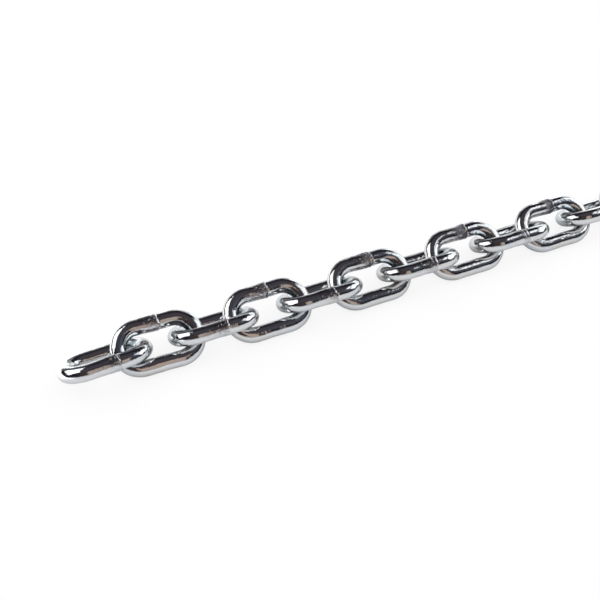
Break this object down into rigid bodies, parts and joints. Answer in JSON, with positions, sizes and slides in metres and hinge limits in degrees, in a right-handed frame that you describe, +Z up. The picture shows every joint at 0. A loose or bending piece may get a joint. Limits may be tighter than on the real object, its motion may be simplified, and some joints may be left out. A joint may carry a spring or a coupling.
{
  "type": "short link steel chain",
  "caption": "Length of zinc-plated short link steel chain, laid slack in a straight line. It pulls, hangs and ties loads, and can be cut to length.",
  "frame": {"origin": "on the floor under the middle of the chain", "axes": "+X along the chain towards its last link, +Y away from the side it is seen from, +Z up"},
  "size_m": [0.4901, 0.0166, 0.0122],
  "materials": {
    "bright_zinc": "bright zinc plating, mirror-like with fine scratches and small dents"
  },
  "bodies": {
    "link_01": {"link_01": "bright_zinc"},
    "link_02": {"link_02": "bright_zinc"},
    "link_03": {"link_03": "bright_zinc"},
    "link_04": {"link_04": "bright_zinc"},
    "link_05": {"link_05": "bright_zinc"},
    "link_06": {"link_06": "bright_zinc"},
    "link_07": {"link_07": "bright_zinc"},
    "link_08": {"link_08": "bright_zinc"},
    "link_09": {"link_09": "bright_zinc"},
    "link_10": {"link_10": "bright_zinc"},
    "link_11": {"link_11": "bright_zinc"},
    "link_12": {"link_12": "bright_zinc"},
    "link_13": {"link_13": "bright_zinc"},
    "link_14": {"link_14": "bright_zinc"},
    "link_15": {"link_15": "bright_zinc"},
    "link_16": {"link_16": "bright_zinc"},
    "link_17": {"link_17": "bright_zinc"},
    "link_18": {"link_18": "bright_zinc"},
    "link_19": {"link_19": "bright_zinc"},
    "link_20": {"link_20": "bright_zinc"},
    "link_21": {"link_21": "bright_zinc"},
    "link_22": {"link_22": "bright_zinc"},
    "link_23": {"link_23": "bright_zinc"},
    "link_24": {"link_24": "bright_zinc"},
    "link_25": {"link_25": "bright_zinc"},
    "link_26": {"link_26": "bright_zinc"},
    "link_27": {"link_27": "bright_zinc"}
  },
  "joints": [
    {"name": "turn_02", "type": "hinge", "parent": "link_01", "child": "link_02", "pos_m": [-0.2187, 0.00018, 0.00599], "axis": [-0.019, -0.5443, 0.8387], "range_deg": [-75, 75]},
    {"name": "turn_03", "type": "hinge", "parent": "link_02", "child": "link_03", "pos_m": [-0.2016, 0, 0.00599], "axis": [0, 0.5446, 0.8387], "range_deg": [-75, 75]},
    {"name": "turn_04", "type": "hinge", "parent": "link_03", "child": "link_04", "pos_m": [-0.1838, 0, 0.00599], "axis": [0, 0.5446, -0.8387], "range_deg": [-75, 75]},
    {"name": "turn_05", "type": "hinge", "parent": "link_04", "child": "link_05", "pos_m": [-0.166, 0, 0.00599], "axis": [0, -0.5446, -0.8387], "range_deg": [-75, 75]},
    {"name": "turn_06", "type": "hinge", "parent": "link_05", "child": "link_06", "pos_m": [-0.1482, 0, 0.00599], "axis": [0, -0.5446, 0.8387], "range_deg": [-75, 75]},
    {"name": "turn_07", "type": "hinge", "parent": "link_06", "child": "link_07", "pos_m": [-0.1304, 0, 0.00599], "axis": [0, 0.5446, 0.8387], "range_deg": [-75, 75]},
    {"name": "turn_08", "type": "hinge", "parent": "link_07", "child": "link_08", "pos_m": [-0.1126, 0, 0.00599], "axis": [0, 0.5446, -0.8387], "range_deg": [-75, 75]},
    {"name": "turn_09", "type": "hinge", "parent": "link_08", "child": "link_09", "pos_m": [-0.0948, 0, 0.00599], "axis": [0, -0.5446, -0.8387], "range_deg": [-75, 75]},
    {"name": "turn_10", "type": "hinge", "parent": "link_09", "child": "link_10", "pos_m": [-0.077, 0, 0.00599], "axis": [0, -0.5446, 0.8387], "range_deg": [-75, 75]},
    {"name": "turn_11", "type": "hinge", "parent": "link_10", "child": "link_11", "pos_m": [-0.0592, 0, 0.00599], "axis": [0, 0.5446, 0.8387], "range_deg": [-75, 75]},
    {"name": "turn_12", "type": "hinge", "parent": "link_11", "child": "link_12", "pos_m": [-0.0414, 0, 0.00599], "axis": [0, 0.5446, -0.8387], "range_deg": [-75, 75]},
    {"name": "turn_13", "type": "hinge", "parent": "link_12", "child": "link_13", "pos_m": [-0.0236, 0, 0.00599], "axis": [0, -0.5446, -0.8387], "range_deg": [-75, 75]},
    {"name": "turn_14", "type": "hinge", "parent": "link_13", "child": "link_14", "pos_m": [-0.0058, 0, 0.00599], "axis": [0, -0.5446, 0.8387], "range_deg": [-75, 75]},
    {"name": "turn_15", "type": "hinge", "parent": "link_14", "child": "link_15", "pos_m": [0.012, 0, 0.00599], "axis": [0, 0.5446, 0.8387], "range_deg": [-75, 75]},
    {"name": "turn_16", "type": "hinge", "parent": "link_15", "child": "link_16", "pos_m": [0.0298, 0, 0.00599], "axis": [0, 0.5446, -0.8387], "range_deg": [-75, 75]},
    {"name": "turn_17", "type": "hinge", "parent": "link_16", "child": "link_17", "pos_m": [0.0476, 0, 0.00599], "axis": [0, -0.5446, -0.8387], "range_deg": [-75, 75]},
    {"name": "turn_18", "type": "hinge", "parent": "link_17", "child": "link_18", "pos_m": [0.0654, 0, 0.00599], "axis": [0, -0.5446, 0.8387], "range_deg": [-75, 75]},
    {"name": "turn_19", "type": "hinge", "parent": "link_18", "child": "link_19", "pos_m": [0.0832, 0, 0.00599], "axis": [0, 0.5446, 0.8387], "range_deg": [-75, 75]},
    {"name": "turn_20", "type": "hinge", "parent": "link_19", "child": "link_20", "pos_m": [0.101, 0, 0.00599], "axis": [0, 0.5446, -0.8387], "range_deg": [-75, 75]},
    {"name": "turn_21", "type": "hinge", "parent": "link_20", "child": "link_21", "pos_m": [0.1188, 0, 0.00599], "axis": [0, -0.5446, -0.8387], "range_deg": [-75, 75]},
    {"name": "turn_22", "type": "hinge", "parent": "link_21", "child": "link_22", "pos_m": [0.1366, 0, 0.00599], "axis": [0, -0.5446, 0.8387], "range_deg": [-75, 75]},
    {"name": "turn_23", "type": "hinge", "parent": "link_22", "child": "link_23", "pos_m": [0.1544, 0, 0.00599], "axis": [0, 0.5446, 0.8387], "range_deg": [-75, 75]},
    {"name": "turn_24", "type": "hinge", "parent": "link_23", "child": "link_24", "pos_m": [0.1722, 0, 0.00599], "axis": [0, 0.5446, -0.8387], "range_deg": [-75, 75]},
    {"name": "turn_25", "type": "hinge", "parent": "link_24", "child": "link_25", "pos_m": [0.19, 0, 0.00599], "axis": [0, -0.5446, -0.8387], "range_deg": [-75, 75]},
    {"name": "turn_26", "type": "hinge", "parent": "link_25", "child": "link_26", "pos_m": [0.2078, 0, 0.00599], "axis": [0, -0.5446, 0.8387], "range_deg": [-75, 75]},
    {"name": "turn_27", "type": "hinge", "parent": "link_26", "child": "link_27", "pos_m": [0.2256, 0, 0.00599], "axis": [0, 0.5446, 0.8387], "range_deg": [-75, 75]}
  ]
}
